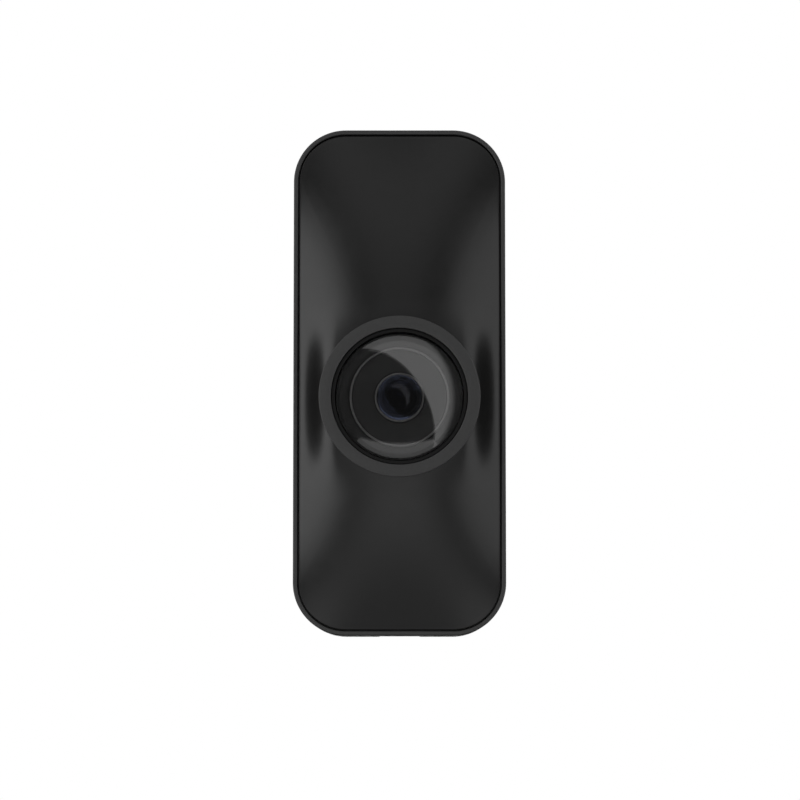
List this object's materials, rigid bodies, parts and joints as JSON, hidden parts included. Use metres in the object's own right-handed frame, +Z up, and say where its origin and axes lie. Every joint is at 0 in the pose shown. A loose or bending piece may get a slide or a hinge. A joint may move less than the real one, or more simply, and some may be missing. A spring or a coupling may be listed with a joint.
{
  "type": "video doorbell",
  "caption": "slim upright door camera on a hooked wall plate: a flared front shell rises to a domed lens inside a ring-shaped push button",
  "frame": {"origin": "on the back face of the wall plate, halfway up the body and halfway across it", "axes": "+Z up, +X to the right seen from the front, the camera looks along -Y and +Y runs into the wall"},
  "size_m": [0.0502, 0.0345, 0.12],
  "materials": {
    "grey_plastic": "satin, finely grained",
    "black_plastic": "satin",
    "black_parts": "matt",
    "rubber": "matt",
    "foam": "woven, matt",
    "dome_glass": "polished, smoked",
    "lens_glass": "polished, coated",
    "circuit_board": "solder mask",
    "steel": "plated",
    "brass": "plain",
    "battery_foil": "foil",
    "ribbon": "film"
  },
  "bodies": {
    "plate": {"wall_plate": "grey_plastic"},
    "lock_screw": {"security_screw": "steel"},
    "unit": {"rear_housing": "grey_plastic", "front_shell": "black_plastic", "perimeter_seal": "rubber", "case_screw_1": "steel", "case_screw_2": "steel", "case_screw_3": "steel", "case_screw_4": "steel", "terminal_screw_1": "brass", "terminal_screw_2": "brass", "terminal_washer_1": "brass", "terminal_washer_2": "brass", "main_board": "circuit_board", "processor": "black_parts", "shield_can": "steel", "antenna": "steel", "battery": "battery_foil", "usb_socket": "steel", "setup_switch": "black_parts", "microphone": "steel", "microphone_boot": "rubber", "speaker_mesh": "foam", "speaker_basket": "black_parts", "speaker_magnet": "steel", "speaker_gasket": "foam", "button_membrane": "rubber", "button_board": "circuit_board", "button_switch_1": "black_parts", "button_switch_2": "black_parts", "button_switch_3": "black_parts", "camera_housing": "black_plastic", "dome_window": "dome_glass", "dome_seal": "rubber", "lens_shroud": "black_parts", "shroud_trim_ring": "grey_plastic", "lens_barrel": "black_parts", "lens_front_element": "lens_glass", "lens_rear_element": "lens_glass", "lens_retainer": "grey_plastic", "lens_holder": "black_parts", "image_sensor": "black_parts", "camera_board": "circuit_board", "camera_ribbon": "ribbon", "ir_led_board": "circuit_board", "ir_led_1": "black_parts", "ir_led_2": "black_parts", "ir_led_3": "black_parts"},
    "ring_button": {"button_ring": "grey_plastic", "switch_plunger_1": "black_parts", "switch_plunger_2": "black_parts", "switch_plunger_3": "black_parts"},
    "side_button": {"setup_button": "grey_plastic", "setup_plunger": "black_parts"},
    "charging_cover": {"usb_cover": "rubber"},
    "cone": {"speaker_cone": "foam"},
    "ir_filter": {"ir_filter_carriage": "black_parts", "ir_cut_glass": "lens_glass", "clear_glass": "lens_glass"}
  },
  "joints": [
    {"name": "security_screw_out", "type": "slide", "parent": "plate", "child": "lock_screw", "axis": [0, 0, -1], "range_m": [0, 0.008]},
    {"name": "unit_lift", "type": "slide", "parent": "plate", "child": "unit", "axis": [0, 0, 1], "range_m": [0, 0.004]},
    {"name": "ring_button_press", "type": "slide", "parent": "unit", "child": "ring_button", "axis": [0, 1, 0], "range_m": [0, 0.0004], "stiffness_N_per_m": 3000, "springref_m": -0.0004, "deforming": ["button_membrane"]},
    {"name": "setup_button_press", "type": "slide", "parent": "unit", "child": "side_button", "axis": [1, 0, 0], "range_m": [0, 0.0005], "stiffness_N_per_m": 2000, "springref_m": -0.0003},
    {"name": "charging_cover_hinge", "type": "hinge", "parent": "unit", "child": "charging_cover", "pos_m": [0.0251, -0.0075, -0.03], "axis": [0, 0, 1], "range_deg": [0, 110], "stiffness_Nm_per_rad": 0.001},
    {"name": "speaker_cone_travel", "type": "slide", "parent": "unit", "child": "cone", "axis": [0, 1, 0], "range_m": [-0.0002, 0.0002], "stiffness_N_per_m": 500},
    {"name": "ir_filter_shift", "type": "slide", "parent": "unit", "child": "ir_filter", "axis": [-1, 0, 0], "range_m": [0, 0.0055]}
  ]
}
